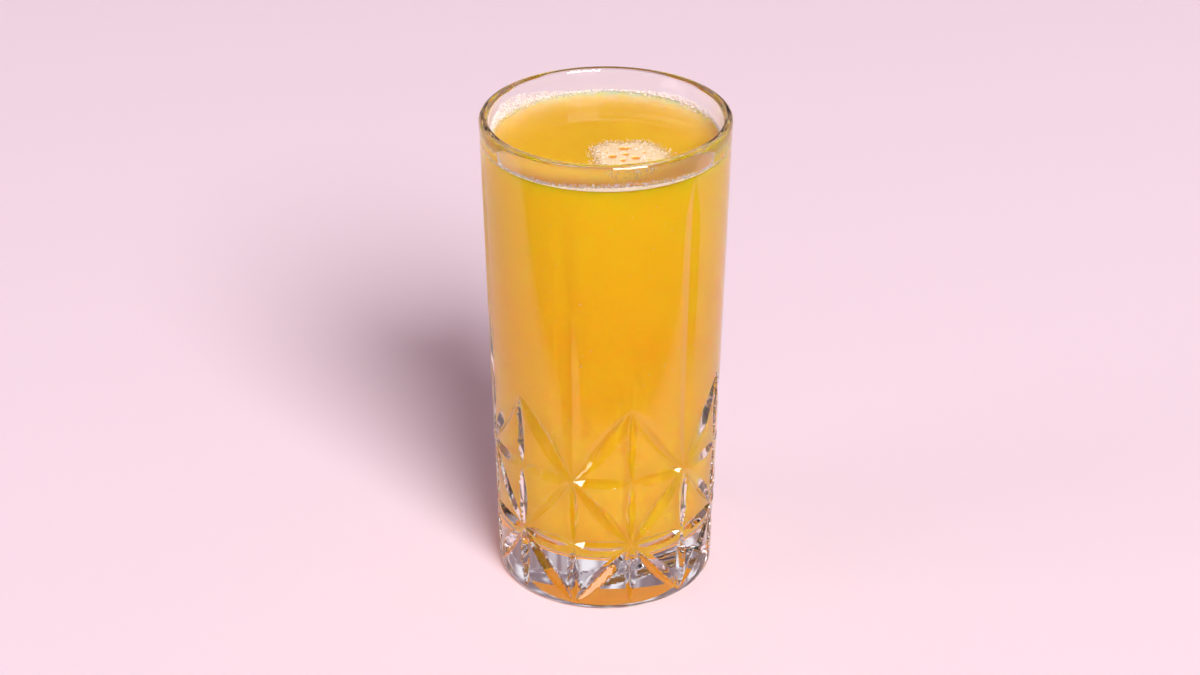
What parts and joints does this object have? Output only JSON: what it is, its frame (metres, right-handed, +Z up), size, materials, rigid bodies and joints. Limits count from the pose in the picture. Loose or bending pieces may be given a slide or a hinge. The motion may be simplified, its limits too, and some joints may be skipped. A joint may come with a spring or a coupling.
{
  "type": "glass of orange juice",
  "caption": "Tall cut glass tumbler with star and arch cuts, filled nearly to the rim with orange juice, with a little foam on top.",
  "frame": {"origin": "centre of the tumbler's underside", "axes": "+Z up along the tumbler's axis, -Y towards the picture's camera"},
  "size_m": [0.0706, 0.0706, 0.145],
  "materials": {
    "glass": "clear, fire polished, with pressed leaf cuts",
    "juice": "cloudy golden orange liquid with a smooth wet surface",
    "foam": "fine pale orange foam with small bubbles"
  },
  "bodies": {
    "root": {"glass": "glass", "juice": "juice", "foam_ring": "foam", "foam_patch": "foam"}
  },
  "joints": []
}
